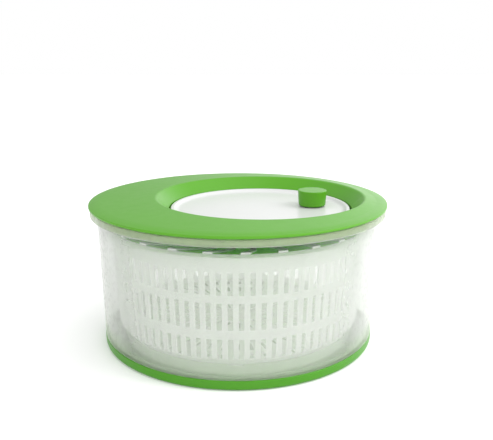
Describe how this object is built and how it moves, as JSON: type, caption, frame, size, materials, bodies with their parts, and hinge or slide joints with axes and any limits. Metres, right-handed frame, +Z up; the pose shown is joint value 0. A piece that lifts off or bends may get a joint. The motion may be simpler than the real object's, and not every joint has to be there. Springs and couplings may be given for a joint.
{
  "type": "salad spinner",
  "caption": "Crank-driven salad spinner: a slotted basket turns in a frosted bowl, driven through a gear in the lid by a round crank disc with a knob.",
  "frame": {"origin": "bottom centre, on the axis the basket spins about, at the surface the spinner stands on", "axes": "+Z up along the spin axis; +X the way the crank disc is set off from the middle; -Y the front"},
  "size_m": [0.24, 0.24, 0.1202],
  "materials": {
    "green_plastic": "satin moulded plastic",
    "white_plastic": "smooth moulded plastic",
    "frosted_plastic": "frosted see-through plastic",
    "translucent_plastic": "milky translucent plastic",
    "gear_plastic": "natural moulded plastic",
    "steel": "plain stainless steel"
  },
  "bodies": {
    "bowl": {"bowl": "frosted_plastic", "base_ring": "green_plastic"},
    "lid": {"lid_shell": "green_plastic", "gear_housing": "green_plastic", "housing_screws": "steel", "shaft_bush": "gear_plastic"},
    "crank": {"crank_disc": "white_plastic", "ring_gear": "gear_plastic", "ring_gear_screws": "steel", "crank_washer": "steel", "crank_screw": "steel", "knob_pin": "steel", "knob_screw": "steel"},
    "knob": {"knob_body": "green_plastic", "knob_cap": "green_plastic"},
    "drive": {"pinion": "gear_plastic", "drive_shaft": "gear_plastic", "basket_cover": "green_plastic", "drive_spider": "white_plastic", "drive_washer": "steel", "drive_screw": "steel"},
    "bearing": {"basket_bearing": "gear_plastic"},
    "basket": {"basket": "translucent_plastic"}
  },
  "joints": [
    {"name": "lid_lift", "type": "slide", "parent": "bowl", "child": "lid", "axis": [0, 0, 1], "range_m": [0, 0.24]},
    {"name": "crank_spin", "type": "hinge", "parent": "lid", "child": "crank", "pos_m": [0.018, 0, 0.1047], "axis": [0, 0, 1], "continuous": true},
    {"name": "knob_spin", "type": "hinge", "parent": "crank", "child": "knob", "pos_m": [0.06154, 0.00843, 0.11], "axis": [0, 0, 1], "continuous": true},
    {"name": "drive_spin", "type": "hinge", "parent": "lid", "child": "drive", "pos_m": [0, 0, 0.095], "axis": [0, 0, 1], "continuous": true},
    {"name": "basket_lift", "type": "slide", "parent": "bowl", "child": "bearing", "axis": [0, 0, 1], "range_m": [0, 0.12]},
    {"name": "basket_spin", "type": "hinge", "parent": "bearing", "child": "basket", "pos_m": [0, 0, 0.013], "axis": [0, 0, 1], "continuous": true}
  ],
  "couplings": [
    {"joint": "drive_spin", "follows": "crank_spin", "ratio": 3},
    {"joint": "basket_spin", "follows": "crank_spin", "ratio": 3},
    {"joint": "basket_lift", "follows": "lid_lift", "ratio": 0.5}
  ]
}
